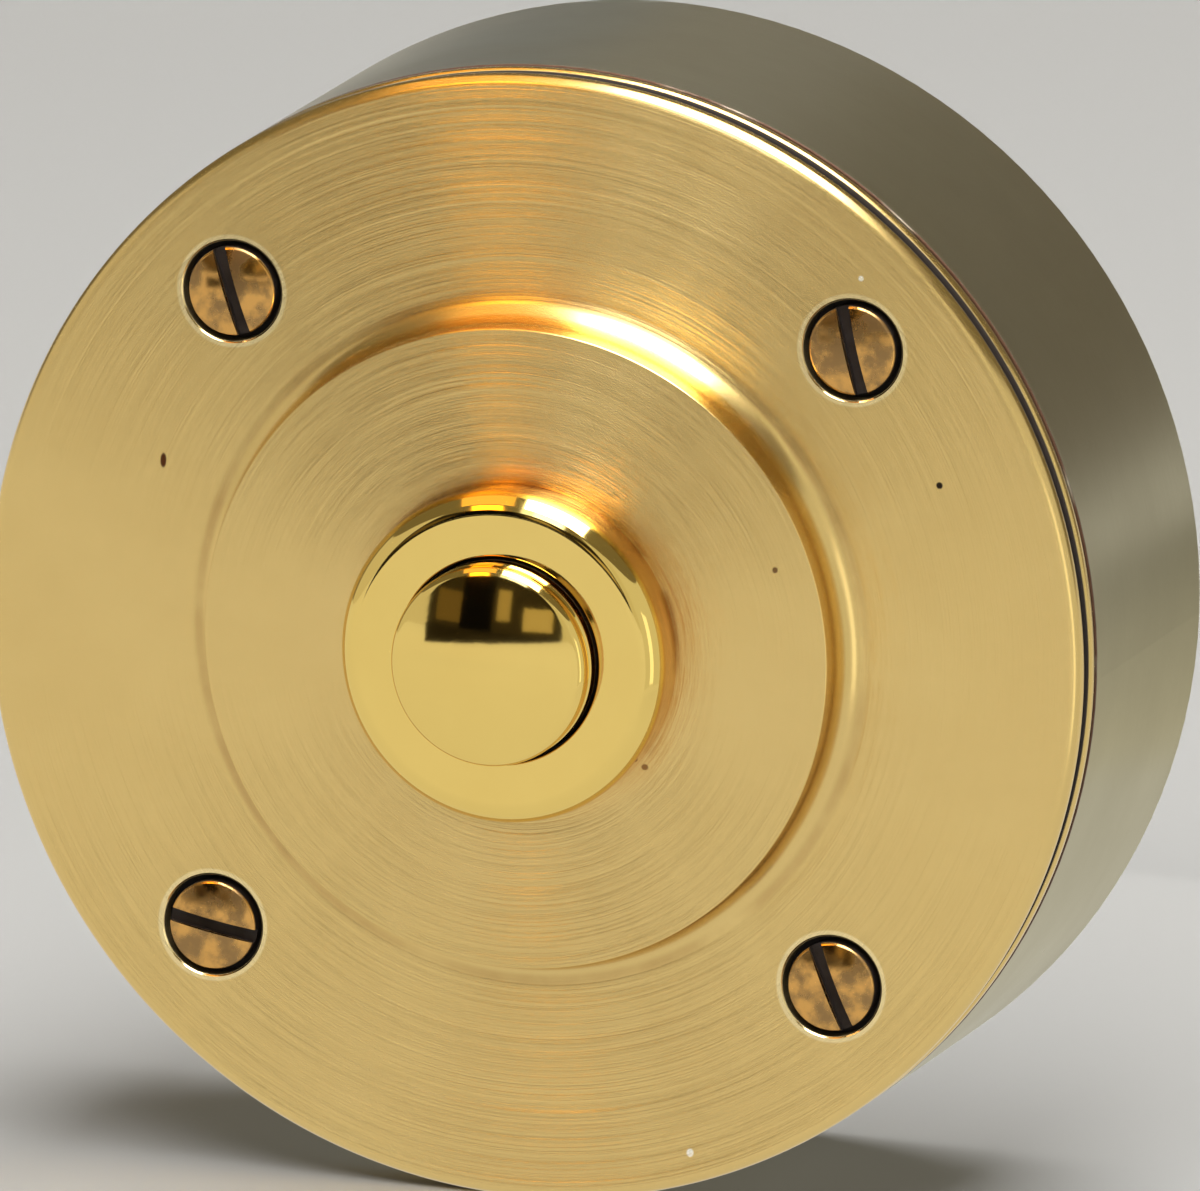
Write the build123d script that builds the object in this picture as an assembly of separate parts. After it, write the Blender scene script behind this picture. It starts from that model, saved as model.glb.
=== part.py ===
from build123d import *
import os
from math import cos, radians, sin

# Bell push for a door frame: a turned brass cover with a sprung button, screwed to a round metal box.
# Each piece is drawn as it lies on its back on a bench. X is to the right, Y is up the door and Z is
# the distance from the wall. The last step stands the pieces up, so that the front faces -Y.
# Sizes are in millimetres.

# Back box
box_diameter = 76.0
box_depth = 24.1
box_wall = 2.5
box_floor = 2.5
box_foot_edge = 0.6
box_rim_edge = 0.1

# Screw lugs inside the box
screw_circle = 60.9
screw_angles = {"top_right": 45.0, "top_left": 135.0, "bottom_left": 225.0, "bottom_right": 315.0}
lug_diameter = 10.4

# Wall screws, cable hole and its grommet
wall_hole_diameter = 4.5
wall_hole_spacing = 40.0
wall_sink_diameter = 7.4
cable_hole_diameter = 10.0
cable_recess_depth = 0.9
grommet_flange_diameter = 13.0
grommet_flange_thickness = 1.4
grommet_bore = 6.0
grommet_gap = 0.1
grommet_edge = 0.4

# Gasket
gasket_thickness = 0.4
gasket_inset = 0.3

# Cover plate, with a groove turned in its edge above a bead
cover_thickness = 3.3
cover_edge = 0.7
bead_thickness = 1.15
bead_edge = 0.3
groove_width = 0.9
groove_depth = 0.55
groove_edge = 0.1
plateau_diameter = 43.8
plateau_foot_diameter = 46.4
plateau_height = 3.6
plateau_edge = 0.6
plateau_cove = 0.45
plateau_thickness = 2.6
recess_wall = 2.0

# Cover screws
screw_diameter = 4.0
screw_hole_gap = 0.2
screw_reach = 12.0
head_diameter = 6.0
head_gap = 0.45
head_thickness = 1.4
head_rise = 0.1
head_crown = 0.35
head_edge = 0.22
head_hole_bevel = 0.12
slot_width = 0.9
slot_depth = 0.9
slot_angles = {"top_right": -75.0, "top_left": -71.0, "bottom_left": -10.0, "bottom_right": -66.0}

# Bezel ring, which guides the button
ring_diameter = 22.4
ring_height = 3.8
ring_edge = 1.1
ring_mouth_diameter = 14.0
ring_mouth_depth = 1.6
ring_mouth_edge = 0.1
shank_diameter = 18.4
shank_gap = 0.1
shank_tail = 1.1
ring_washer_thickness = 0.5
ring_washer_width = 1.9
ring_nut_thickness = 2.2
ring_nut_width = 1.55

# Button
button_diameter = 13.5
button_gap = 0.08
button_proud = 2.35
button_crown = 1.0
button_travel = 2.5
button_edge = 0.65
button_flange_diameter = 15.8
button_flange_thickness = 1.4
stem_diameter = 3.2
stem_tail = 0.5

# Contact bridge on the button's stem
bush_diameter = 12.6
bush_thickness = 0.8
bush_sleeve_wall = 0.8
bridge_diameter = 15.0
bridge_thickness = 0.5
collar_diameter = 5.6
collar_thickness = 1.2

# Contact block and the two fixed contacts
block_thickness = 4.0
block_rim = 3.6
block_edge = 0.6
block_slot_depth = 0.5
block_slot_gap = 0.15
contact_gap = 0.05
contact_thickness = 0.6
contact_fold_radius = 0.75
contact_width = 5.0
contact_pocket_gap = 1.1
contact_leaf_length = 4.2
contact_end_length = 3.3

# Return spring
spring_wire = 0.6
spring_diameter = 7.2
spring_turns = 4
spring_gap = 0.3
spring_pocket_depth = 2.0

# Terminals
terminal_spacing = 28.0
small_screw_diameter = 3.0
small_screw_gap = 0.1
small_head_diameter = 5.4
small_head_thickness = 1.8
small_slot_width = 0.8
small_slot_depth = 0.8
terminal_washer_diameter = 6.6
terminal_washer_thickness = 0.5
terminal_nut_flats = 5.5
terminal_nut_thickness = 1.8
terminal_tail = 0.5

# Pillars that carry the block from the cover, clear of the corners of the ring's nut as it turns
pillar_gap = 0.2
pillar_diameter = 4.6
pillar_spigot_diameter = 2.6
pillar_spigot_length = 1.4
block_screw_reach = 5.0
tapped_spare = 1.0

# Cuts run this far past the faces they open
past = 1.0

# Heights above the wall, from the cover joint up to the button's face
cover_back = box_depth + gasket_thickness
flange_top = cover_back + cover_thickness
plateau_top = flange_top + plateau_height
recess_top = plateau_top - plateau_thickness
ring_top = plateau_top + ring_height
button_rim = ring_top + button_proud

# Heights from the recess in the cover down to the contact block
ring_nut_top = recess_top - ring_washer_thickness
ring_nut_back = ring_nut_top - ring_nut_thickness
shank_end = ring_nut_back - shank_tail
button_flange_back = shank_end - button_flange_thickness
bridge_top = button_flange_back - bush_thickness
bridge_back = bridge_top - bridge_thickness
collar_back = bridge_back - collar_thickness
stem_end = collar_back - stem_tail
contact_top = bridge_back - button_travel - contact_gap
contact_foot = contact_top - 2 * contact_thickness - 2 * contact_fold_radius
block_top = contact_foot + block_slot_depth
block_back = block_top - block_thickness
spring_foot = block_top - spring_pocket_depth

# Widths that fit one piece to another
box_radius = box_diameter / 2
recess_radius = plateau_diameter / 2 - recess_wall
ring_bore = button_diameter + 2 * button_gap
pocket_diameter = spring_diameter + spring_wire + 2 * spring_gap
sleeve_diameter = stem_diameter + 2 * bush_sleeve_wall
ring_nut_flats = shank_diameter + 2 * ring_nut_width
ring_nut_corners = ring_nut_flats / cos(radians(30))
ring_washer_diameter = shank_diameter + 2 * ring_washer_width
pillar_spacing = ring_nut_corners + 2 * pillar_gap + pillar_diameter
block_diameter = pillar_spacing + 2 * block_rim
contact_start = pocket_diameter / 2 + contact_pocket_gap
contact_length = terminal_spacing / 2 + contact_end_length - contact_start


def turned(*outline, corners=0):
    """Solid turned about Z from outline points (radius, height), with a radius at each corner."""
    points = [(radius, 0, height) for radius, height in outline]
    return revolve(make_face(FilletPolyline(*points, radius=corners, close=True)), Axis.Z)


def post(diameter, low, high, at=(0, 0)):
    """Round post between two heights, standing at a point."""
    middle = (at[0], at[1], (low + high) / 2)
    return Pos(*middle) * Cylinder(diameter / 2, high - low)


def domed_post(diameter, low, rim, crown, edge):
    """Round post whose top is a low dome with a rounded rim."""
    dome_radius = ((diameter / 2) ** 2 + crown ** 2) / (2 * crown)
    dome = Pos(0, 0, rim + crown - dome_radius) * Sphere(dome_radius)
    solid = post(diameter, low, rim + crown) & dome
    rim_edge = solid.edges().filter_by(lambda line: line.is_closed).sort_by(Axis.Z)[-1]
    return fillet(rim_edge, edge)


def slab(length, width, low, high, at=(0, 0)):
    """Block between two heights, its middle over a point."""
    middle = (at[0], at[1], (low + high) / 2)
    return Pos(*middle) * Box(length, width, high - low)


def six_sided(flats, low, high, at=(0, 0)):
    """Six-sided bar between two heights with its corners bevelled, as a nut's are."""
    corner_radius = flats / 2 / cos(radians(30))
    bevel = corner_radius - flats / 2
    bar = extrude(RegularPolygon(corner_radius, 6), high - low)
    dome = turned(
        (0, 0),
        (corner_radius, 0),
        (corner_radius, high - low - bevel),
        (flats / 2, high - low),
        (0, high - low),
    )
    return Pos(at[0], at[1], low) * (bar & dome)


def around(angle, diameter):
    """Point on a circle about the middle, at an angle from X."""
    return (diameter / 2 * cos(radians(angle)), diameter / 2 * sin(radians(angle)))


def make_back_box():
    """Turned cup with four lugs for the cover screws, two wall holes and a cable hole."""
    inner_radius = box_radius - box_wall
    box = turned(
        (0, 0),
        (box_radius, 0),
        (box_radius, box_depth),
        (inner_radius, box_depth),
        (inner_radius, box_floor),
        (0, box_floor),
        corners=[0, box_foot_edge, box_rim_edge, 0, 0, 0],
    )
    for angle in screw_angles.values():
        at = around(angle, screw_circle)
        web_length = box_radius - box_wall / 2 - screw_circle / 2
        web_middle = around(angle, screw_circle + web_length)
        web = Rot(Z=angle) * slab(web_length, lug_diameter, box_floor, box_depth)
        box += post(lug_diameter, box_floor, box_depth, at)
        box += Pos(*web_middle) * web
    box &= turned(
        (0, 0),
        (box_radius, 0),
        (box_radius, box_depth),
        (0, box_depth),
        corners=[0, box_foot_edge, box_rim_edge, 0],
    )
    for angle in screw_angles.values():
        at = around(angle, screw_circle)
        screw_end = flange_top - head_thickness - screw_reach
        box -= post(screw_diameter, screw_end - tapped_spare, box_depth + past, at)
    sink_depth = (wall_sink_diameter - wall_hole_diameter) / 2
    for side in (-1, 1):
        at = (side * wall_hole_spacing / 2, 0)
        box -= post(wall_hole_diameter, -past, box_floor + past, at)
        sink = Cone(wall_hole_diameter / 2, wall_sink_diameter / 2, sink_depth)
        box -= Pos(at[0], at[1], box_floor - sink_depth / 2) * sink
    box -= post(cable_hole_diameter, -past, box_floor + past)
    box -= post(grommet_flange_diameter + 2 * grommet_gap, -past, cable_recess_depth)
    return box


def make_cable_grommet():
    """Rubber sleeve with a flange on each side of the box floor, sunk into the floor's back."""
    bore = grommet_bore / 2
    neck = cable_hole_diameter / 2
    rim = grommet_flange_diameter / 2
    top = box_floor + grommet_flange_thickness
    return turned(
        (bore, grommet_gap),
        (rim, grommet_gap),
        (rim, cable_recess_depth),
        (neck, cable_recess_depth),
        (neck, box_floor),
        (rim, box_floor),
        (rim, top),
        (bore, top),
        corners=[0, 0, 0, 0, 0, 0, grommet_edge, 0],
    )


def make_cover_gasket():
    """Flat ring, set in a little from the edge, with a hole for each cover screw."""
    inner_diameter = screw_circle - lug_diameter
    gasket = post(box_diameter - 2 * gasket_inset, box_depth, cover_back)
    gasket -= post(inner_diameter, box_depth - past, cover_back + past)
    for angle in screw_angles.values():
        at = around(angle, screw_circle)
        gasket -= post(screw_diameter + 2 * screw_hole_gap, box_depth - past, cover_back + past, at)
    return gasket


def make_cover_plate():
    """Turned cover: grooved edge, flat flange, coved step, raised plateau and a recess behind it."""
    hole = shank_diameter / 2 + shank_gap
    groove_radius = box_radius - groove_depth
    groove_back = cover_back + bead_thickness
    groove_front = groove_back + groove_width
    cover = turned(
        (hole, recess_top),
        (recess_radius, recess_top),
        (recess_radius, cover_back),
        (box_radius, cover_back),
        (box_radius, groove_back),
        (groove_radius, groove_back),
        (groove_radius, groove_front),
        (box_radius, groove_front),
        (box_radius, flange_top),
        (plateau_foot_diameter / 2, flange_top),
        (plateau_diameter / 2, plateau_top),
        (hole, plateau_top),
        corners=[0, 0, 0, bead_edge, bead_edge, 0, 0, groove_edge, cover_edge,
                 plateau_cove, plateau_edge, 0],
    )
    head_seat = flange_top - head_thickness
    head_hole = head_diameter + 2 * head_gap
    for angle in screw_angles.values():
        at = around(angle, screw_circle)
        cover -= post(screw_diameter + 2 * screw_hole_gap, cover_back - past, flange_top, at)
        cover -= post(head_hole, head_seat, flange_top + past, at)
        bevel = Cone(head_hole / 2, head_hole / 2 + head_hole_bevel, head_hole_bevel)
        cover -= Pos(at[0], at[1], flange_top - head_hole_bevel / 2) * bevel
    for side in (-1, 1):
        at = (0, side * pillar_spacing / 2)
        cover -= post(pillar_spigot_diameter, recess_top - past, recess_top + pillar_spigot_length, at)
    return cover


def make_cover_screw(place):
    """Screw with a low domed head let into the flange, its slot left as the photograph shows it."""
    seat = flange_top - head_thickness
    rim = flange_top + head_rise
    crown_top = rim + head_crown
    head = domed_post(head_diameter, seat, rim, head_crown, head_edge)
    cut = slab(head_diameter + past, slot_width, crown_top - slot_depth, crown_top + past)
    head -= Rot(Z=slot_angles[place]) * cut
    screw = head + post(screw_diameter, seat - screw_reach, seat)
    return Pos(*around(screw_angles[place], screw_circle)) * screw


def make_bezel_ring():
    """Ring on the plateau with a rounded edge and a wider mouth, its shank bored for the button."""
    bore = ring_bore / 2
    mouth = ring_mouth_diameter / 2
    mouth_floor = ring_top - ring_mouth_depth
    shank = shank_diameter / 2
    return turned(
        (bore, shank_end),
        (shank, shank_end),
        (shank, plateau_top),
        (ring_diameter / 2, plateau_top),
        (ring_diameter / 2, ring_top),
        (mouth, ring_top),
        (mouth, mouth_floor),
        (bore, mouth_floor),
        corners=[0, 0, 0, 0, ring_edge, ring_mouth_edge, 0, 0],
    )


def make_bezel_washer():
    """Flat washer between the ring's nut and the cover."""
    washer = post(ring_washer_diameter, ring_nut_top, recess_top)
    return washer - post(shank_diameter + 2 * shank_gap, ring_nut_top - past, recess_top + past)


def make_bezel_nut():
    """Thin six-sided nut on the ring's shank, its flats towards the pillars."""
    nut = six_sided(ring_nut_flats, ring_nut_back, ring_nut_top)
    return nut - post(shank_diameter, ring_nut_back - past, ring_nut_top + past)


def make_push_button():
    """Turned button with a slightly domed face, a flange that stops it in the ring, and a stem."""
    button = domed_post(button_diameter, shank_end, button_rim, button_crown, button_edge)
    button += post(button_flange_diameter, button_flange_back, shank_end)
    return button + post(stem_diameter, stem_end, button_flange_back)


def make_bridge_bush():
    """Insulating bush: a flange behind the button and a sleeve through the contact bridge."""
    return turned(
        (stem_diameter / 2, bridge_back),
        (sleeve_diameter / 2, bridge_back),
        (sleeve_diameter / 2, bridge_top),
        (bush_diameter / 2, bridge_top),
        (bush_diameter / 2, button_flange_back),
        (stem_diameter / 2, button_flange_back),
    )


def make_contact_bridge():
    """Bronze disc on the bush, which joins the two fixed contacts when the button is in."""
    bridge = post(bridge_diameter, bridge_back, bridge_top)
    return bridge - post(sleeve_diameter, bridge_back - past, bridge_top + past)


def make_bridge_collar():
    """Insulating collar pressed on the stem, which keeps bush and bridge in place."""
    collar = post(collar_diameter, collar_back, bridge_back)
    return collar - post(stem_diameter, collar_back - past, bridge_back + past)


def make_return_spring():
    """Coil spring from the pocket in the block to the bridge, its ends ground flat."""
    length = bridge_back - spring_foot
    pitch = length / spring_turns
    coil_path = Helix(pitch, length, spring_diameter / 2, center=(0, 0, spring_foot))
    section = Plane(coil_path @ 0, z_dir=coil_path % 0) * Circle(spring_wire / 2)
    coil = sweep(section, path=coil_path, is_frenet=True)
    return coil & post(spring_diameter + 4 * spring_wire, spring_foot, bridge_back)


def make_contact_block():
    """Moulded disc with a pocket for the spring and a slot for each fixed contact."""
    block = turned(
        (0, block_back),
        (block_diameter / 2, block_back),
        (block_diameter / 2, block_top),
        (0, block_top),
        corners=[0, block_edge, block_edge, 0],
    )
    block -= post(pocket_diameter, spring_foot, block_top + past)
    slot_length = contact_length + 2 * block_slot_gap
    slot_wide = contact_width + 2 * block_slot_gap
    for side in (-1, 1):
        slot_middle = (side * (contact_start + contact_length / 2), 0)
        block -= slab(slot_length, slot_wide, contact_foot, block_top + past, slot_middle)
        terminal = (side * terminal_spacing / 2, 0)
        pillar = (0, side * pillar_spacing / 2)
        for at in (terminal, pillar):
            hole = small_screw_diameter + 2 * small_screw_gap
            block -= post(hole, block_back - past, block_top + past, at)
    return block


def make_fixed_contact(side):
    """Bronze strip folded back over itself, so that its leaf can give under the bridge."""
    fold_centre = contact_start + contact_thickness + contact_fold_radius
    fold_middle = contact_foot + contact_thickness + contact_fold_radius
    foot_line = contact_foot + contact_thickness / 2
    leaf_line = contact_top - contact_thickness / 2
    foot = Line((contact_start + contact_length, 0, foot_line), (fold_centre, 0, foot_line))
    fold_side = (contact_start + contact_thickness / 2, 0, fold_middle)
    fold = ThreePointArc(foot @ 1, fold_side, (fold_centre, 0, leaf_line))
    leaf = Line(fold @ 1, (fold_centre + contact_leaf_length, 0, leaf_line))
    end = Plane(foot @ 0, x_dir=(0, 1, 0), z_dir=(-1, 0, 0))
    strip = sweep(end * Rectangle(contact_width, contact_thickness), path=Wire([foot, fold, leaf]))
    hole = small_screw_diameter + 2 * small_screw_gap
    strip -= post(hole, contact_foot - past, fold_middle, (terminal_spacing / 2, 0))
    return strip if side > 0 else mirror(strip, Plane.YZ)


def small_screw(at, head_top, end):
    """Small slotted screw with its head towards the wall and its end towards the front."""
    head = post(small_head_diameter, head_top, head_top + small_head_thickness)
    head -= slab(small_head_diameter + past, small_slot_width, head_top - past, head_top + small_slot_depth)
    shank = post(small_screw_diameter, head_top + small_head_thickness, end)
    return Pos(*at) * (head + shank)


def make_terminal_screw(side):
    """Screw that clamps a bell wire on the wall side of the block."""
    head_top = block_back - terminal_washer_thickness - small_head_thickness
    end = contact_foot + contact_thickness + terminal_nut_thickness + terminal_tail
    return small_screw((side * terminal_spacing / 2, 0), head_top, end)


def make_terminal_washer(side):
    """Washer under the terminal screw's head, which the wire goes under."""
    low = block_back - terminal_washer_thickness
    at = (side * terminal_spacing / 2, 0)
    washer = post(terminal_washer_diameter, low, block_back, at)
    return washer - post(small_screw_diameter + 2 * small_screw_gap, low - past, block_back + past, at)


def make_terminal_nut(side):
    """Nut on the front of the block, which holds the fixed contact down."""
    low = contact_foot + contact_thickness
    at = (side * terminal_spacing / 2, 0)
    nut = six_sided(terminal_nut_flats, low, low + terminal_nut_thickness, at)
    return nut - post(small_screw_diameter, low - past, low + terminal_nut_thickness + past, at)


def make_block_pillar(side):
    """Brass post from the cover's recess to the block, with a spigot in the cover and a tapped end."""
    at = (0, side * pillar_spacing / 2)
    pillar = post(pillar_diameter, block_top, recess_top, at)
    pillar += post(pillar_spigot_diameter, recess_top, recess_top + pillar_spigot_length, at)
    tapped_end = block_top + block_screw_reach + tapped_spare
    return pillar - post(small_screw_diameter, block_top - past, tapped_end, at)


def make_block_screw(side):
    """Screw through the block into a pillar."""
    head_top = block_back - small_head_thickness
    return small_screw((0, side * pillar_spacing / 2), head_top, block_top + block_screw_reach)


pieces = {
    "back_box": make_back_box(),
    "cable_grommet": make_cable_grommet(),
    "cover_gasket": make_cover_gasket(),
    "cover_plate": make_cover_plate(),
    "bezel_ring": make_bezel_ring(),
    "bezel_washer": make_bezel_washer(),
    "bezel_nut": make_bezel_nut(),
    "push_button": make_push_button(),
    "bridge_bush": make_bridge_bush(),
    "contact_bridge": make_contact_bridge(),
    "bridge_collar": make_bridge_collar(),
    "return_spring": make_return_spring(),
    "contact_block": make_contact_block(),
}
for place in screw_angles:
    pieces["cover_screw_" + place] = make_cover_screw(place)
for name, side in {"left": -1, "right": 1}.items():
    pieces["fixed_contact_" + name] = make_fixed_contact(side)
    pieces["terminal_screw_" + name] = make_terminal_screw(side)
    pieces["terminal_washer_" + name] = make_terminal_washer(side)
    pieces["terminal_nut_" + name] = make_terminal_nut(side)
for name, side in {"bottom": -1, "top": 1}.items():
    pieces["block_pillar_" + name] = make_block_pillar(side)
    pieces["block_screw_" + name] = make_block_screw(side)

os.makedirs("parts", exist_ok=True)
stand_up = Rot(X=90)
for node, piece in pieces.items():
    export_step(stand_up * piece, "parts/" + node + ".step")
    print(node, round(piece.volume, 1))
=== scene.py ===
"""Looks of a round brass bell push on its metal back box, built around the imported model.

Lengths are in metres, and profiles to be turned are in millimetres. The push looks along -Y, +Z is up and
the back of its box is the plane y = 0.
"""
import math

import bmesh
import bpy
import numpy as np
from mathutils import Matrix, Vector


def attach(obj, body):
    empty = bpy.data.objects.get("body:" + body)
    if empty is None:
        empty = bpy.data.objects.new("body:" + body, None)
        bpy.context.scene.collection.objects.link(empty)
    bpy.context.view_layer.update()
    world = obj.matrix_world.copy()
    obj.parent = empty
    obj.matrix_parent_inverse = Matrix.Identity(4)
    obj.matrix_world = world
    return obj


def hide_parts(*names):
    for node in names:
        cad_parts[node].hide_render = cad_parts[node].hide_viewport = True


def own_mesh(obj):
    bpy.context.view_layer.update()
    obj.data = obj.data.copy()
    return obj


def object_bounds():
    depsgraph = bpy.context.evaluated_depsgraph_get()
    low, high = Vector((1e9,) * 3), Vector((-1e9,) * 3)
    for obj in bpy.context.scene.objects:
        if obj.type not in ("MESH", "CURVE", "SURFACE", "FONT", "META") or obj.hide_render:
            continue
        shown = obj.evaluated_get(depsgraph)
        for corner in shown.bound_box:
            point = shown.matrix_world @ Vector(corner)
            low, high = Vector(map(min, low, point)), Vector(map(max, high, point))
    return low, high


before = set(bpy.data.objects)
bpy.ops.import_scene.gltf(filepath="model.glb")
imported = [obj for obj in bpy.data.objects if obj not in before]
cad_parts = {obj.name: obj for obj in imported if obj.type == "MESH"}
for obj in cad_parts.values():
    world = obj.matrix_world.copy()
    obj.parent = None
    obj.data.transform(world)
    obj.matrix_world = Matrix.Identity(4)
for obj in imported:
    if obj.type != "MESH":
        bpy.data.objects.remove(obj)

cad_low, cad_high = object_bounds()
scene = bpy.context.scene
scene.view_settings.view_transform = "Standard"


# Camera
# The photo was taken from well off, a little above the push and to its right, with the camera turned a
# little. The lens gives as many pixels to the metre as the photo has, at the joint of cover and box.
photo_size = (1200, 1191)
pixels_per_metre = 15087
camera_distance = 3.0
sensor_width = 36.0
azimuth = math.radians(17.15)
elevation = math.radians(12.28)
roll = math.radians(1.83)
joint_centre = Vector((0, -0.0252, 0))
joint_pixel = (543.2, 631.0)

backward = Vector((math.sin(azimuth) * math.cos(elevation),
                   -math.cos(azimuth) * math.cos(elevation),
                   math.sin(elevation)))
level_right = Vector((math.cos(azimuth), math.sin(azimuth), 0))
level_up = backward.cross(level_right)
right = level_right * math.cos(roll) + level_up * math.sin(roll)
up = level_up * math.cos(roll) - level_right * math.sin(roll)
aim = (joint_centre
       + right * (photo_size[0] / 2 - joint_pixel[0]) / pixels_per_metre
       + up * (joint_pixel[1] - photo_size[1] / 2) / pixels_per_metre)
lens = bpy.data.cameras.new("camera")
lens.sensor_width = sensor_width
lens.lens = sensor_width * camera_distance * pixels_per_metre / photo_size[0]
lens.clip_end = 20
camera = bpy.data.objects.new("camera", lens)
camera.matrix_world = (Matrix.Translation(aim + backward * camera_distance)
                       @ Matrix((right, up, backward)).transposed().to_4x4())
scene.collection.objects.link(camera)
scene.camera = camera


# Floor
# A pale matt sheet that the push stands on. The flat brass faces mirror it towards the camera, and they
# see it evenly lit as far as the horizon.
floor_reach = 5.0
floor_colour = (0.40, 0.40, 0.395, 1)
floor_mirrored = (0.78, 0.78, 0.765, 1)
black = (0, 0, 0, 1)


class Wire:
    """One output of a node. Python's operators on it add the Math nodes that they stand for."""

    def __init__(self, finish, output):
        self.finish = finish
        self.output = output

    def __add__(self, other):
        return self.finish.maths("ADD", self, other)

    def __sub__(self, other):
        return self.finish.maths("SUBTRACT", self, other)

    def __rsub__(self, other):
        return self.finish.maths("SUBTRACT", other, self)

    def __mul__(self, other):
        return self.finish.maths("MULTIPLY", self, other)

    def __truediv__(self, other):
        return self.finish.maths("DIVIDE", self, other)

    def __rtruediv__(self, other):
        return self.finish.maths("DIVIDE", other, self)

    def __neg__(self):
        return self.finish.maths("MULTIPLY", self, -1.0)

    def __pow__(self, other):
        return self.finish.maths("POWER", self, other)

    __radd__ = __add__
    __rmul__ = __mul__


class Finish:
    """A material with one Principled shader, whose constants are set on the shader's own sockets."""

    def __init__(self, name, **constants):
        self.material = bpy.data.materials.new(name)
        self.material.use_nodes = True
        self.tree = self.material.node_tree
        self.tree.nodes.clear()
        self.shader = self.tree.nodes.new("ShaderNodeBsdfPrincipled")
        end = self.tree.nodes.new("ShaderNodeOutputMaterial")
        self.tree.links.new(self.shader.outputs[0], end.inputs["Surface"])
        for socket, value in constants.items():
            self.drive(socket, value)

    def drive(self, socket, value):
        """Sets one of the shader's sockets, such as base_color, or links a wire to it."""
        self.join(value, self.shader.inputs[socket.replace("_", " ").title().replace("Ior", "IOR")])

    def join(self, value, target):
        """Links a wire to a socket, or sets the socket's value."""
        if isinstance(value, Wire):
            self.tree.links.new(value.output, target)
        else:
            target.default_value = value

    def node(self, kind, settings, sockets, output=0):
        """Adds a node: first its settings, then the values or wires of its sockets."""
        node = self.tree.nodes.new(kind)
        for name, value in settings.items():
            setattr(node, name, value)
        for socket, value in sockets.items():
            self.join(value, node.inputs[socket])
        return Wire(self, node.outputs[output])

    def maths(self, operation, *values):
        """One Math node."""
        return self.node("ShaderNodeMath", {"operation": operation}, dict(enumerate(values)))

    def vectors(self, operation, *values, output="Vector"):
        """One Vector Math node. Its answer is a vector, or a number from the output "Value"."""
        return self.node("ShaderNodeVectorMath", {"operation": operation}, dict(enumerate(values)), output)

    def stretch(self, vector, amount):
        """A vector times a number."""
        return self.node("ShaderNodeVectorMath", {"operation": "SCALE"}, {0: vector, "Scale": amount})

    def place(self):
        """The point's place on the object, in metres, as a vector."""
        return self.node("ShaderNodeTexCoord", {}, {}, "Object")

    def axes(self, vector):
        """The three parts of a vector."""
        parts = self.node("ShaderNodeSeparateXYZ", {}, {0: vector})
        return [Wire(self, output) for output in parts.output.node.outputs]

    def vector(self, x, y, z):
        """A vector from its three parts."""
        return self.node("ShaderNodeCombineXYZ", {}, {0: x, 1: y, 2: z})

    def noise(self, vector, scale, detail=2.0, roughness=0.5):
        """Noise from 0 to 1, with its middle at a half."""
        sockets = {"Vector": vector, "Scale": scale, "Detail": detail, "Roughness": roughness}
        return self.node("ShaderNodeTexNoise", {}, sockets)

    def step(self, value, low, high):
        """0 below low, 1 above high, and smooth between them. Low may be the larger."""
        settings = {"interpolation_type": "SMOOTHSTEP"}
        return self.node("ShaderNodeMapRange", settings, {"Value": value, "From Min": low, "From Max": high})

    def within(self, value, low, high, soft):
        """1 between two values and 0 outside them, smooth over the width soft."""
        return self.step(value, low - soft, low) * self.step(value, high + soft, high)

    def blend(self, share, first, second):
        """A colour between two colours, the second where the share is 1."""
        return self.node("ShaderNodeMix", {"data_type": "RGBA"}, {0: share, 6: first, 7: second}, 2)


def surface(name, points, goes_round=(False, False)):
    """Mesh over a grid of points. Each four neighbours make a face, and a direction that goes round
    joins its last row to its first. Points in one place, as at a pole, are made one."""
    rows, columns = points.shape[:2]
    index = np.arange(rows * columns).reshape(rows, columns)
    if goes_round[0]:
        index = np.vstack([index, index[:1]])
    if goes_round[1]:
        index = np.hstack([index, index[:, :1]])
    corners = [index[:-1, :-1], index[1:, :-1], index[1:, 1:], index[:-1, 1:]]
    faces = np.stack(corners, axis=-1).reshape(-1, 4)
    mesh = bpy.data.meshes.new(name)
    mesh.from_pydata(points.reshape(-1, 3), [], faces.tolist())
    welder = bmesh.new()
    welder.from_mesh(mesh)
    bmesh.ops.remove_doubles(welder, verts=welder.verts, dist=1e-8)
    welder.to_mesh(mesh)
    welder.free()
    mesh.polygons.foreach_set("use_smooth", np.ones(len(mesh.polygons), bool))
    piece = bpy.data.objects.new(name, mesh)
    scene.collection.objects.link(piece)
    return piece


side = np.linspace(-floor_reach, floor_reach, 3)
floor_y, floor_x = np.meshgrid(side, side)
floor = surface("floor", np.stack([floor_x, floor_y, np.full_like(floor_x, cad_low.z)], axis=-1))
paper = Finish("floor_paper", roughness=0.8, emission_strength=1.0)
mirrored = paper.node("ShaderNodeLightPath", {}, {}, "Is Glossy Ray")
paper.drive("base_color", paper.blend(mirrored, floor_colour, black))
paper.drive("emission_color", paper.blend(mirrored, black, floor_mirrored))
floor.data.materials.append(paper.material)


# Studio room
# A dim warm room with pale walls: the camera sees them pale, and the metal mirrors them as dim as they
# are beside the lamps.
room_light = (0.21, 0.185, 0.135, 1)
room_seen = (0.75, 0.75, 0.75, 1)

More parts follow.
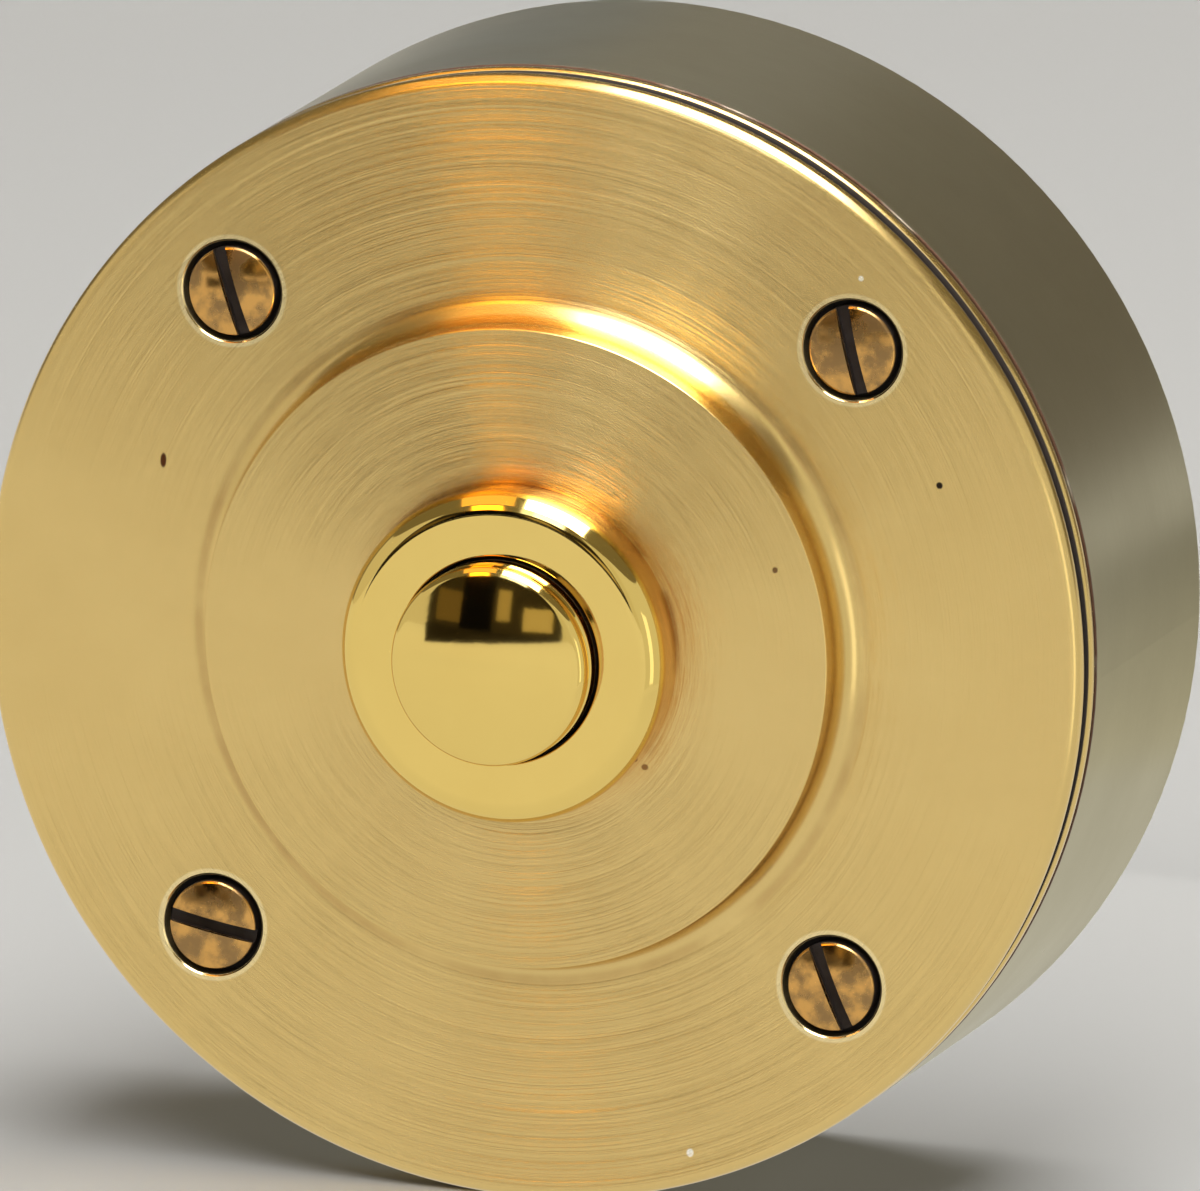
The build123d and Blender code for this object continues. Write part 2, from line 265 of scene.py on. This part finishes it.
room = bpy.data.worlds.new("room")
scene.world = room
room.use_nodes = True
room_nodes = room.node_tree.nodes
room_nodes.clear()
path = room_nodes.new("ShaderNodeLightPath")
backdrop = room_nodes.new("ShaderNodeMix")
backdrop.data_type = "RGBA"
backdrop.inputs[6].default_value = room_light
backdrop.inputs[7].default_value = room_seen
background = room_nodes.new("ShaderNodeBackground")
room_end = room_nodes.new("ShaderNodeOutputWorld")
room.node_tree.links.new(path.outputs["Is Camera Ray"], backdrop.inputs[0])
room.node_tree.links.new(backdrop.outputs[2], background.inputs["Color"])
room.node_tree.links.new(background.outputs[0], room_end.inputs["Surface"])


# Lamps
# One long soft box hangs over the push from front to back, and two wide weak ones fill the left and the
# right. They light the floor and the dull pieces, and the boards below stand for them in the metal.
def soft_box(name, middle, target, width, length, radiance):
    """Area lamp with a set radiance, turned to a target, its length as upright as that allows. A flat
    lamp of radiance L sends out L times pi for each square metre."""
    lamp = bpy.data.lights.new(name, "AREA")
    lamp.shape = "RECTANGLE"
    lamp.size = width
    lamp.size_y = length
    lamp.energy = radiance * math.pi * width * length
    holder = bpy.data.objects.new(name, lamp)
    holder.location = middle
    holder.rotation_euler = (Vector(middle) - Vector(target)).to_track_quat("Z", "Y").to_euler()
    holder.visible_camera = False
    holder.visible_glossy = False
    scene.collection.objects.link(holder)


push_middle = (0.0, -0.03, 0.0)
soft_box("overhead_lamp", (0.11, -0.25, 0.85), (0.11, -0.249, 0.0), 0.56, 1.9, 5.0)
soft_box("left_lamp", (-1.6, -0.2, 0.9), push_middle, 1.0, 0.8, 1.0)
soft_box("right_lamp", (1.6, -0.2, 0.9), push_middle, 1.0, 0.8, 1.0)


# Boards
# The studio round the push, as the metal mirrors it: a dark gap with a post and brown things in front,
# pale walls beside it, dim walls and a table that is brighter towards its foot behind, and a lamp and a
# wooden shelf overhead. Only mirror rays see them.
far = 2.1
before_far = 2.0
before_gap = 1.95
before_post = 1.9
near_table = 0.2
beside_push = 0.12
table_rows = 6
table_top = -0.5
table_row = 2.8


def board(name, azimuths, bottom, top, distance, colour):
    """Part of a sphere round the push, between two azimuths from straight ahead, with a bottom and a top
    edge whose elevations go from one value at its left to another at its right. The point at azimuth a
    and elevation e is distance * (sin a cos e, -cos a cos e, sin e) from the push's middle."""
    around, share = np.meshgrid(np.radians(np.linspace(*azimuths, 24)), np.linspace(0, 1, 12))
    above = np.radians(np.linspace(*bottom, 24) * (1 - share) + np.linspace(*top, 24) * share)
    directions = [np.sin(around) * np.cos(above), -np.cos(around) * np.cos(above), np.sin(above)]
    glowing(surface(name, np.stack(directions, axis=-1) * distance + np.array(push_middle)), colour)


def level(elevation):
    """An edge that stays at one elevation."""
    return (elevation, elevation)


def arch(name, faces, tilts, distance, colour):
    """Part of the same sphere, over the push from front to back. A normal N that leans by t from straight
    ahead towards the face angle f shows the camera, in the direction V, what lies in the direction
    2 (N . V) N - V. The arch covers these directions between two values of f and two of t."""
    face, tilt = np.meshgrid(np.radians(np.linspace(*faces, 12)), np.radians(np.linspace(*tilts, 48)))
    normal = np.stack([np.sin(tilt) * np.cos(face), -np.cos(tilt), np.sin(tilt) * np.sin(face)], axis=-1)
    towards = np.array(backward)
    directions = 2 * (normal @ towards)[..., None] * normal - towards
    glowing(surface(name, directions * distance + np.array(push_middle)), colour)


def glowing(panel, colour):
    """Gives a board its light, which only mirror rays see and which isn't sampled as a lamp."""
    panel.visible_camera = False
    panel.visible_diffuse = False
    panel.visible_shadow = False
    glow = Finish(panel.name, base_color=black, emission_color=(*colour, 1), emission_strength=1.0)
    glow.drive("specular_ior_level", 0.0)
    glow.material.cycles.emission_sampling = "NONE"
    panel.data.materials.append(glow.material)


board("dark_gap", (-37.0, 9.0), level(-3.0), level(20.5), before_far, (0.035, 0.028, 0.016))
board("dark_table", (-37.0, 9.0), (-5.4, -0.8), level(0.5), 0.25, (0.02, 0.016, 0.01))
board("black_post", (-25.5, -14.5), level(-3.0), level(17.0), before_gap, (0.003, 0.003, 0.004))
board("brown_panel", (-34.0, -25.5), level(1.5), level(11.0), before_post, (0.15, 0.105, 0.045))
board("gold_panel_left", (-13.0, -8.5), level(4.0), level(14.0), before_post, (0.42, 0.33, 0.17))
board("gold_panel_right", (-4.0, 6.0), level(1.5), level(9.0), before_post, (0.55, 0.45, 0.25))
board("pale_wall", (-95.0, -37.0), level(-3.0), level(24.0), far, (0.72, 0.70, 0.64))
board("right_wall", (9.0, 52.0), level(-3.0), level(30.0), far, (0.72, 0.70, 0.60))
board("right_card", (28.0, 105.0), level(-16.0), level(32.0), beside_push, (0.78, 0.78, 0.72))
board("right_window", (50.0, 66.0), level(-15.0), level(14.0), 0.115, (1.5, 1.5, 1.45))
board("back_wall_right", (-178.0, -163.5), level(6.0), level(32.0), before_post, (0.31, 0.30, 0.28))
board("back_wall_left", (-163.5, -148.0), level(-1.0), level(24.0), before_post, (0.24, 0.265, 0.31))
for row in range(table_rows):
    row_top = table_top - table_row * row
    light = 0.33 + 0.09 * row
    board(f"table_end_{row}", (138.0, 180.0), level(row_top - table_row), level(row_top), beside_push,
          (light, light * 0.96, light * 0.8))
board("table_end_left", (-172.0, -140.0), level(-10.5), level(0.0), near_table, (0.17, 0.20, 0.25))
arch("lamp_edge", (65.0, 83.0), (17.0, 29.0), 1.5, (1.7, 1.8, 2.1))
arch("lamp_middle", (66.0, 78.0), (17.0, 29.0), 1.45, (3.5, 3.8, 4.5))
arch("lamp_bulbs", (58.0, 82.0), (29.5, 62.0), 1.5, (13.0, 13.0, 13.0))
arch("wooden_shelf", (90.0, 102.0), (16.5, 29.0), 1.4, (5.4, 2.8, 0.25))
arch("wooden_wall", (86.0, 106.0), (31.0, 60.0), 1.4, (1.6, 0.9, 0.25))


# Back box
# A deep cup turned from steel and satin nickelled, grey beside the brass, with a little rust along its
# front edge. It goes on the wall, and the cover's four screws go into the lugs inside it.
nickel_colour = (0.48, 0.445, 0.335, 1)
nickel_shade = (0.41, 0.375, 0.275, 1)
rust_colour = (0.10, 0.045, 0.025, 1)
rust_starts = 0.0238
rust_full = 0.0240


def turned_normal(finish, lean, bias, fineness, arc, streaks=0.08, most=0.42):
    """Normal of a lathe-turned surface. The tool's fine grooves run round the axis, so the normal leans
    across them: unit(N + across * (bias + lean * n)), where n is noise about 0 that changes quickly with
    the radius and the depth and slowly round the axis, and across = N x (Y x radial). A share of the noise
    has wider waves, seen as streaks, and nothing leans by more than most."""
    place = finish.place()
    x, y, z = finish.axes(place)
    flat = finish.vectors("MULTIPLY", place, (1, 0, 1))
    radius = finish.vectors("LENGTH", flat, output="Value")
    radial = finish.vectors("NORMALIZE", flat)
    along = finish.vectors("CROSS_PRODUCT", (0, 1, 0), radial)
    normal = finish.node("ShaderNodeNewGeometry", {}, {}, "Normal")
    across = finish.vectors("CROSS_PRODUCT", normal, along)
    cosine, _, sine = finish.axes(radial)
    groove = finish.vector(radius * fineness + cosine * arc, y * fineness, sine * arc)
    wave = (finish.noise(groove, 1.0, 4.0, 0.95) - 0.5) + streaks * (finish.noise(groove, 0.2) - 0.5)
    tilt = finish.maths("MAXIMUM", finish.maths("MINIMUM", bias + lean * wave, most), -most)
    return finish.vectors("NORMALIZE", finish.vectors("ADD", normal, finish.stretch(across, tilt)))


def dress(nodes, finish):
    """Puts a finish on CAD nodes, whose meshes stay as they are."""
    for node in nodes:
        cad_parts[node].material_slots[0].material = finish.material


nickel = Finish("satin_nickel", specular_tint=(0.88, 0.85, 0.72, 1))
cloud = nickel.noise(nickel.place(), 120.0, 4.0)
_, y, _ = nickel.axes(nickel.place())
rust = nickel.step(-y, rust_starts, rust_full) * nickel.step(cloud, 0.25, 0.4)
colour = nickel.blend(cloud, nickel_colour, nickel_shade)
nickel.drive("base_color", nickel.blend(rust, colour, rust_colour))
nickel.drive("metallic", 1 - 0.8 * rust)
nickel.drive("roughness", cloud * 0.1 + 0.25 + rust * 0.3)
nickel.drive("normal", turned_normal(nickel, 0.4, 0.0, 40000.0, 1.5))
dress(["back_box"], nickel)


# Cover plate
# A brass disc turned in one piece, with a raised middle that falls to the flange in a hollow curve, a
# groove in its edge and a counterbored hole for each screw. The lathe left fine rings, which catch the
# light in fans. The groove and the holes are painted near black as shade.
cover_back = 24.5
flange_top = 27.8
plateau_top = 31.4
recess_top = 28.8
bore_radius = 9.3
recess_radius = 19.9
plateau_radius = 21.6
cover_radius = 38.0
groove_radius = 37.4
groove_low = 25.3
groove_high = 26.9
cover_outline = [
    (bore_radius, recess_top), (recess_radius, recess_top), (recess_radius, cover_back),
    (cover_radius, cover_back), (cover_radius, groove_low), (groove_radius, groove_low),
    (groove_radius, groove_high), (cover_radius, groove_high), (cover_radius, flange_top),
    (plateau_radius, flange_top), (plateau_radius, plateau_top), (bore_radius, plateau_top),
]
cover_corners = [0.04, 0.04, 0.04, 0.15, 0.5, 0.05, 0.05, 0.05, 0.8, 1.85, 0.1, 0.04]
screw_across = 21.531
drill_low = 23.0
drill_high = 28.83
hole_radius = 2.2
seat_height = 26.4
seat_radius = 3.4
chamfer_height = 27.68
screw_hole = [
    (0, drill_low), (hole_radius, drill_low), (hole_radius, seat_height), (seat_radius, seat_height),
    (seat_radius, chamfer_height), (seat_radius + drill_high - chamfer_height, drill_high), (0, drill_high),
]
satin_colour = (0.755, 0.555, 0.218, 1)
satin_shade = (0.685, 0.486, 0.176, 1)
# Painted shade: the near-black colour given to the cover's groove and screw recesses, the ring's bore, the
# button's hidden side and the screws below the flange.
painted_shade_colour = (0.014, 0.008, 0.005, 1)
stain_colour = (0.33, 0.165, 0.045, 1)
# Painted highlight: the pale colour of the ring round each screw recess's rim.
painted_highlight_colour = (0.90, 0.74, 0.40, 1)
shaded_below_lip = (0.03785, 0.03775)
shaded_past = (0.0365, 0.0370)
shaded_heights = (0.02505, 0.02688)
shaded_hole = (0.00345, 0.00338)
hole_edge = (0.0035, 0.0037)
stained_by_ring = (0.01165, 0.01125)
cove_foot = (0.0230, 0.0232)


def rounded(outline, corners, steps=14, guard=0.02):
    """Closed outline with rounded corners, in order. Where unit directions u and v point from a corner P
    to its neighbours, f apart, the arc of radius r has its middle at P + unit(u + v) * r / sin(f / 2) and
    runs from P + u * r / tan(f / 2) to P + v * r / tan(f / 2). A guard point stands beyond each end, so
    that the flats beside the arc are shaded flat."""
    points = np.array(outline, float)
    radius = np.array(corners, float)[:, None]
    before = np.roll(points, 1, axis=0) - points
    after = np.roll(points, -1, axis=0) - points
    u = before / np.linalg.norm(before, axis=1, keepdims=True)
    v = after / np.linalg.norm(after, axis=1, keepdims=True)
    half = np.arccos(np.sum(u * v, axis=1, keepdims=True)) / 2
    reach = radius / np.tan(half)
    middle = points + (u + v) / np.linalg.norm(u + v, axis=1, keepdims=True) * radius / np.sin(half)
    turn = (math.pi - 2 * half)[:, :, None]
    share = np.linspace(0, 1, steps)[None, :, None]
    start = (points + u * reach - middle)[:, None]
    end = (points + v * reach - middle)[:, None]
    arc = middle[:, None] + (start * np.sin((1 - share) * turn) + end * np.sin(share * turn)) / np.sin(turn)
    first = (points + u * (reach + guard))[:, None]
    last = (points + v * (reach + guard))[:, None]
    return np.concatenate([first, arc, last], axis=1).reshape(-1, 2)


def lathe(name, profile, columns, closed=True, middle=(0, 0)):
    """Piece turned from a profile of points (radius r, height d in front of the wall) in millimetres: the
    point at angle a is (x + r cos a, -d, z + r sin a), with x and z at the axis. A profile that isn't
    closed runs from the axis to the axis."""
    angle = -np.linspace(0, 2 * math.pi, columns, endpoint=False)
    radius, height = np.array(profile, float).T[:, :, None]
    points = [middle[0] + radius * np.cos(angle), -height + 0 * angle, middle[1] + radius * np.sin(angle)]
    return surface(name, np.stack(points, axis=-1) / 1000, (closed, True))


def drill(piece, cutters):
    """Cuts the cutters out of a piece for good, and keeps its true edges sharp."""
    tray = bpy.data.collections.new("cutters")
    for cutter in cutters:
        scene.collection.objects.unlink(cutter)
        tray.objects.link(cutter)
    cut = piece.modifiers.new("holes", "BOOLEAN")
    cut.operation = "DIFFERENCE"
    cut.solver = "EXACT"
    cut.operand_type = "COLLECTION"
    cut.collection = tray
    drilled = bpy.data.meshes.new_from_object(piece.evaluated_get(bpy.context.evaluated_depsgraph_get()))
    piece.modifiers.clear()
    piece.data = drilled
    for cutter in cutters:
        bpy.data.objects.remove(cutter)
    bpy.data.collections.remove(tray)
    drilled.set_sharp_from_angle(angle=math.radians(35))


cover = lathe("turned_cover", rounded(cover_outline, cover_corners), 320)
drill(cover, [lathe("drill", screw_hole, 96, False, (x * screw_across, z * screw_across))
              for x in (-1, 1) for z in (-1, 1)])

satin = Finish("satin_brass")
place = satin.place()
x, y, z = satin.axes(place)
flat_place = satin.vectors("MULTIPLY", place, (1, 0, 1))
radius = satin.vectors("LENGTH", flat_place, output="Value")
folded_place = satin.vectors("ABSOLUTE", flat_place)
to_screw = satin.vectors("SUBTRACT", folded_place, (screw_across / 1000, 0, screw_across / 1000))
from_screw = satin.vectors("LENGTH", to_screw, output="Value")
cloud = satin.noise(place, 160.0, 5.0)
grain = satin.noise(place, 2600.0, 3.0, 0.7)
# Painted shade: the groove in the edge and the screws' recesses are coloured near black, for the shade
# inside them.
shade_in_groove = satin.step(radius, *shaded_below_lip) * satin.within(-y, *shaded_heights, 0.00005)
shade_in_groove = shade_in_groove * satin.step(radius, *shaded_past)
shade_in_hole = satin.step(from_screw, *shaded_hole)
painted_shade = satin.maths("MAXIMUM", shade_in_groove, shade_in_hole)
# Painted highlight: a pale, slightly glossier ring round the rim of each screw recess, for light caught by
# its edge.
painted_rim_highlight = satin.within(from_screw, *hole_edge, 0.0002)
by_ring = satin.step(radius, *stained_by_ring) * satin.step(cloud, 0.42, 0.56)
in_cove = satin.within(radius, *cove_foot, 0.0005) * satin.step(cloud, 0.2, 0.8) * 0.6
stain = satin.maths("MAXIMUM", by_ring, in_cove)
colour = satin.blend(cloud * 0.6 + grain * 0.4, satin_colour, satin_shade)
colour = satin.blend(painted_rim_highlight * 0.7, colour, painted_highlight_colour)
colour = satin.blend(stain * 0.75, colour, stain_colour)
# place in mm, half sizes in mm, colour
specks = [
    ((-25.94, 9.65), (0.22, 0.52), (0.10, 0.035, 0.012, 1)),
    ((27.85, 13.01), (0.24, 0.24), (0.03, 0.02, 0.012, 1)),
    ((17.80, 7.05), (0.20, 0.22), (0.22, 0.12, 0.04, 1)),
    ((9.25, -7.1), (0.25, 0.22), (0.30, 0.16, 0.05, 1)),
    ((21.97, 26.43), (0.20, 0.20), (0.92, 0.82, 0.6, 1)),
    ((12.14, -33.75), (0.26, 0.30), (0.95, 0.88, 0.7, 1)),
]
for (speck_x, speck_z), (half_width, half_height), speck_colour in specks:
    offset = satin.vector((x * 1000 - speck_x) / half_width, 0.0, (z * 1000 - speck_z) / half_height)
    on_speck = satin.step(satin.vectors("LENGTH", offset, output="Value"), 1.15, 0.7)
    colour = satin.blend(on_speck, colour, speck_colour)
satin.drive("base_color", satin.blend(painted_shade, colour, painted_shade_colour))
satin.drive("metallic", 1 - 0.9 * painted_shade)
satin.drive("roughness", cloud * 0.06 + 0.19 + painted_shade * 0.5 - painted_rim_highlight * 0.08)
_, facing, _ = satin.axes(satin.node("ShaderNodeNewGeometry", {}, {}, "Normal"))
grooved = satin.step(-facing, 0.9, 0.99)
satin.drive("normal", turned_normal(satin, grooved * 2.7 + 0.4, 0.03, 60000.0, 1.3))
cover.data.materials.clear()
cover.data.materials.append(satin.material)
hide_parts("cover_plate")
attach(cover, "housing")


# Bezel ring
# A brass ring, polished where it shows, whose threaded shank goes through the cover. It guides the button.
ring_bore = 6.83
ring_mouth = 7.0
ring_shank = 9.2
ring_radius = 11.2
ring_back = 25.0
ring_mouth_low = 33.6
ring_front = 35.2
ring_outline = [
    (ring_bore, ring_back), (ring_shank, ring_back), (ring_shank, plateau_top), (ring_radius, plateau_top),
    (ring_radius, ring_front), (ring_mouth, ring_front), (ring_mouth, ring_mouth_low),
    (ring_bore, ring_mouth_low),
]
ring_corners = [0.04, 0.2, 0.04, 0.04, 1.5, 0.1, 0.04, 0.04]
gold_colour = (0.82, 0.60, 0.18, 1)
gold_shade = (0.79, 0.57, 0.165, 1)
tarnish_colour = (0.60, 0.27, 0.06, 1)


def polished_brass(name, shaded):
    """Mirror-bright brass with faint polishing marks, tarnished on its sides, and painted near black as
    shade where its second argument gives 1."""
    gold = Finish(name)
    cloud = gold.noise(gold.place(), 300.0, 3.0)
    _, y, _ = gold.axes(gold.place())
    flat_place = gold.vectors("MULTIPLY", gold.place(), (1, 0, 1))
    radius = gold.vectors("LENGTH", flat_place, output="Value")
    painted_shade = shaded(gold, radius, -y)
    _, facing, _ = gold.axes(gold.node("ShaderNodeNewGeometry", {}, {}, "Normal"))
    tarnish = gold.step(-facing, 0.34, 0.12) * (cloud * 0.6 + 0.4)
    colour = gold.blend(tarnish, gold.blend(cloud, gold_colour, gold_shade), tarnish_colour)
    # Painted shade: near black where the mask gives 1.
    gold.drive("base_color", gold.blend(painted_shade, colour, painted_shade_colour))
    gold.drive("metallic", 1 - 0.9 * painted_shade)
    gold.drive("roughness", cloud * 0.04 + 0.045 + painted_shade * 0.5)
    gold.drive("normal", turned_normal(gold, 0.02, 0.0, 3000.0, 3.0))
    return gold


ring = lathe("polished_ring", rounded(ring_outline, ring_corners), 256)
# Painted shade: the bore's wall below the mouth is coloured near black.
ring_gold = polished_brass("polished_brass_ring", lambda gold, radius, height:
                           gold.step(radius, 0.00705, 0.00695) * gold.step(height, 0.0351, 0.03495))
ring.data.materials.append(ring_gold.material)
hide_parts("bezel_ring")
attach(ring, "housing")


# Push button
# A polished brass button with a low crown and a rounded rim, on a flange that stops it inside the ring and
# a stem that carries the contact bridge.
button_radius = 6.75
button_rim = 37.55
button_crown = 1.0
button_edge = 0.65
stem_radius = 1.6
stem_end = 20.3
stop_radius = 7.9
stop_back = 23.6
side_top = 36.0
button_back = [
    (0, stem_end), (stem_radius, stem_end), (stem_radius, stop_back), (stop_radius, stop_back),
    (stop_radius, ring_back), (button_radius, ring_back), (button_radius, side_top), (0, side_top),
]
corner_steps = 14
corner_points = corner_steps + 2


def crowned(radius, rim, crown, edge, steps=12):
    """Profile of a low dome with a rounded rim, from its side wall to the axis. The dome is part of a
    sphere of radius R = (radius squared + crown squared) / (2 crown). The rim's arc has its middle at
    radius - edge, where the distance to the sphere's middle is R - edge, and it meets the dome where the
    line through both middles does."""
    sphere = (radius ** 2 + crown ** 2) / (2 * crown)
    base = rim + crown - sphere
    meeting = math.asin((radius - edge) / (sphere - edge))
    edge_middle = np.array([radius - edge, base + (sphere - edge) * math.cos(meeting)])
    rim_tilt = np.linspace(math.pi / 2, meeting, steps)
    dome_tilt = np.linspace(meeting, 0, 3 * steps)[1:]
    rim_arc = edge_middle + edge * np.stack([np.sin(rim_tilt), np.cos(rim_tilt)], axis=-1)
    dome_arc = [0, base] + sphere * np.stack([np.sin(dome_tilt), np.cos(dome_tilt)], axis=-1)
    return np.vstack([rim_arc, dome_arc])


side_profile = rounded(button_back, [0.04] * 8, corner_steps)[corner_points:7 * corner_points]
face_profile = crowned(button_radius, button_rim, button_crown, button_edge)
button_profile = np.vstack([[0, stem_end], side_profile, face_profile])
button = lathe("polished_button", button_profile, 256, False)
# Painted shade: the button's side below the ring's front is coloured near black, for the shade in the bore.
button_gold = polished_brass("polished_brass_button", lambda gold, radius, height:
                             gold.step(height, 0.0352, 0.03505))
button.data.materials.append(button_gold.material)
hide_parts("push_button")
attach(button, "plunger")


# Cover screws
# Four slotted brass screws with low domed heads, darkened with age, and with painted shade in their
# slots and below the face of the flange. They hold the cover on the box.
screw_places = ("top_right", "top_left", "bottom_left", "bottom_right")
screw_colour = (0.66, 0.36, 0.10, 1)
screw_shade = (0.30, 0.18, 0.07, 1)
unshaded_above = 0.02788
shaded_below = 0.02776

screw_brass = Finish("screw_brass")
cloud = screw_brass.step(screw_brass.noise(screw_brass.place(), 700.0, 4.0), 0.35, 0.65)
_, y, _ = screw_brass.axes(screw_brass.place())
# Painted shade: the slots and the parts of the heads below the flange's face are coloured near black.
painted_shade = screw_brass.step(-y, unshaded_above, shaded_below)
colour = screw_brass.blend(cloud, screw_colour, screw_shade)
screw_brass.drive("base_color", screw_brass.blend(painted_shade, colour, painted_shade_colour))
screw_brass.drive("metallic", 1 - 0.9 * painted_shade)
screw_brass.drive("roughness", cloud * 0.2 + 0.12 + painted_shade * 0.5)
dress(["cover_screw_" + place for place in screw_places], screw_brass)


# Gasket and grommet
# A flat red-brown fibre ring lies between the cover and the box. A black rubber sleeve in the floor of
# the box keeps the bell wire off the metal.
fibre_washer = Finish("gasket_fibre", roughness=0.75)
cloud = fibre_washer.noise(fibre_washer.place(), 900.0, 3.0)
fibre_washer.drive("base_color", fibre_washer.blend(cloud, (0.10, 0.04, 0.022, 1), (0.05, 0.022, 0.014, 1)))
dress(["cover_gasket"], fibre_washer)
rubber = Finish("grommet_rubber", roughness=0.65)
cloud = rubber.noise(rubber.place(), 900.0, 3.0)
rubber.drive("base_color", rubber.blend(cloud, (0.022, 0.021, 0.02, 1), (0.04, 0.038, 0.036, 1)))
dress(["cable_grommet"], rubber)


# Return spring
# A coil spring of drawn steel wire between the block and the contact bridge. Its end turns lie close, and
# their outer sides are ground flat.
wire_radius = 0.3
coil_radius = 3.6
spring_foot = 15.55
spring_top = 22.3
working_turns = 3.5
turn_columns = 40


def coil_spring():
    """Tube along a coil: at the turn t the wire's middle is at (R cos, -h, R sin) of 2 pi t, where the
    height h climbs by one wire a turn in the first and last turn and evenly in between. The tube's ring
    stands on the radial direction and the axis. Points past the seats are brought back to them, which
    grinds the ends, and the first and last rings are drawn in to points."""
    turns = working_turns + 2
    t = np.linspace(0, turns, round(turns * turn_columns))
    low = spring_foot + 0.6 * wire_radius
    high = spring_top - 0.6 * wire_radius
    stages = [low, low + 2 * wire_radius, high - 2 * wire_radius, high]
    height = np.interp(t, [0, 1, turns - 1, turns], stages)
    around = 2 * math.pi * t[:, None]
    ring = np.linspace(0, 2 * math.pi, 12, endpoint=False)[None, :]
    thickness = np.where((t == 0) | (t == turns), 0.0, wire_radius)[:, None]
    reach = coil_radius + thickness * np.cos(ring)
    stand = np.clip(height[:, None] + thickness * np.sin(ring), spring_foot, spring_top)
    return np.stack([reach * np.cos(around), -stand, reach * np.sin(around)], axis=-1) / 1000


spring = surface("coiled_spring", coil_spring(), (False, True))
steel = Finish("spring_steel", metallic=1.0)
cloud = steel.noise(steel.place(), 1500.0, 3.0)
steel.drive("base_color", steel.blend(cloud, (0.46, 0.45, 0.44, 1), (0.34, 0.33, 0.31, 1)))
steel.drive("roughness", cloud * 0.2 + 0.22)
spring.data.materials.append(steel.material)
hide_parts("return_spring")
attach(spring, "housing")
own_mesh(spring)


# Contact block and contacts
# The block is moulded from brown phenolic. The fixed contacts and the bridge are rolled phosphor bronze,
# and a bush and a collar of red fibre keep the bridge off the button's stem.
def mottled(name, colour, shade, metallic, roughness, scale):
    """Finish whose colour and gloss vary in small clouds."""
    finish = Finish(name, metallic=metallic)
    cloud = finish.noise(finish.place(), scale, 4.0)
    finish.drive("base_color", finish.blend(cloud, colour, shade))
    finish.drive("roughness", cloud * 0.15 + roughness)
    return finish


dress(["contact_block"],
      mottled("brown_phenolic", (0.10, 0.042, 0.022, 1), (0.055, 0.024, 0.014, 1), 0.0, 0.28, 400.0))
dress(["fixed_contact_left", "fixed_contact_right", "contact_bridge"],
      mottled("phosphor_bronze", (0.70, 0.42, 0.22, 1), (0.52, 0.29, 0.14, 1), 1.0, 0.25, 700.0))
dress(["bridge_bush", "bridge_collar"],
      mottled("red_fibre", (0.24, 0.05, 0.028, 1), (0.17, 0.036, 0.022, 1), 0.0, 0.6, 1200.0))


# Brass fastenings
# The ring's washer and nut, the pillars that carry the block and all the small screws, washers and nuts
# are plain turned brass, dulled inside the box.
fastenings = ["bezel_washer", "bezel_nut"]
for end in ("bottom", "top"):
    fastenings += ["block_pillar_" + end, "block_screw_" + end]
for side in ("left", "right"):
    fastenings += ["terminal_screw_" + side, "terminal_washer_" + side, "terminal_nut_" + side]
dress(fastenings, mottled("plain_brass", (0.72, 0.50, 0.19, 1), (0.52, 0.34, 0.12, 1), 1.0, 0.24, 900.0))
